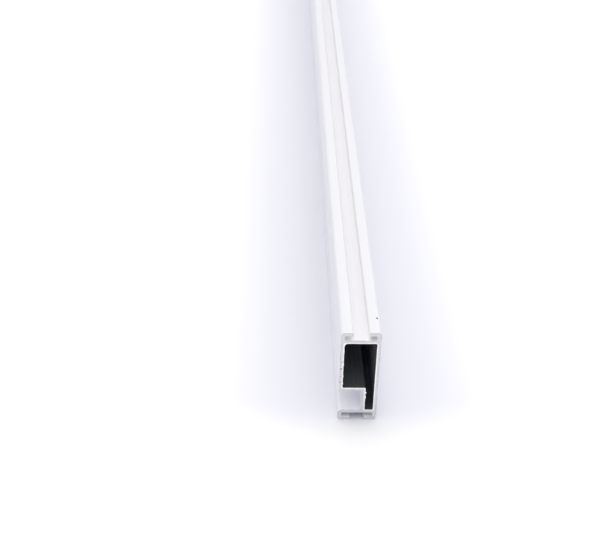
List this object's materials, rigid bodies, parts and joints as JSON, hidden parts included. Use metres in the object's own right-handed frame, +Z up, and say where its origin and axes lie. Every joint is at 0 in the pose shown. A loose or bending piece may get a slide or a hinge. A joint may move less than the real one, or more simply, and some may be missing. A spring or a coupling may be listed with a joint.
{
  "type": "aluminium extrusion profile",
  "caption": "Length of slim white coated hollow aluminium frame profile, with an undercut slot along each narrow edge and an open rebate along one side.",
  "frame": {"origin": "under the middle of the bar's length and width, on the floor that it stands on", "axes": "+X across the section, away from the open rebate; +Y along the bar; +Z up, across the section's height"},
  "size_m": [0.01, 0.5, 0.028],
  "materials": {
    "coated_aluminium": "satin white coat outside, bare metal on the sawn ends and in the chamber"
  },
  "bodies": {
    "root": {"extrusion_profile": "coated_aluminium"}
  },
  "joints": []
}
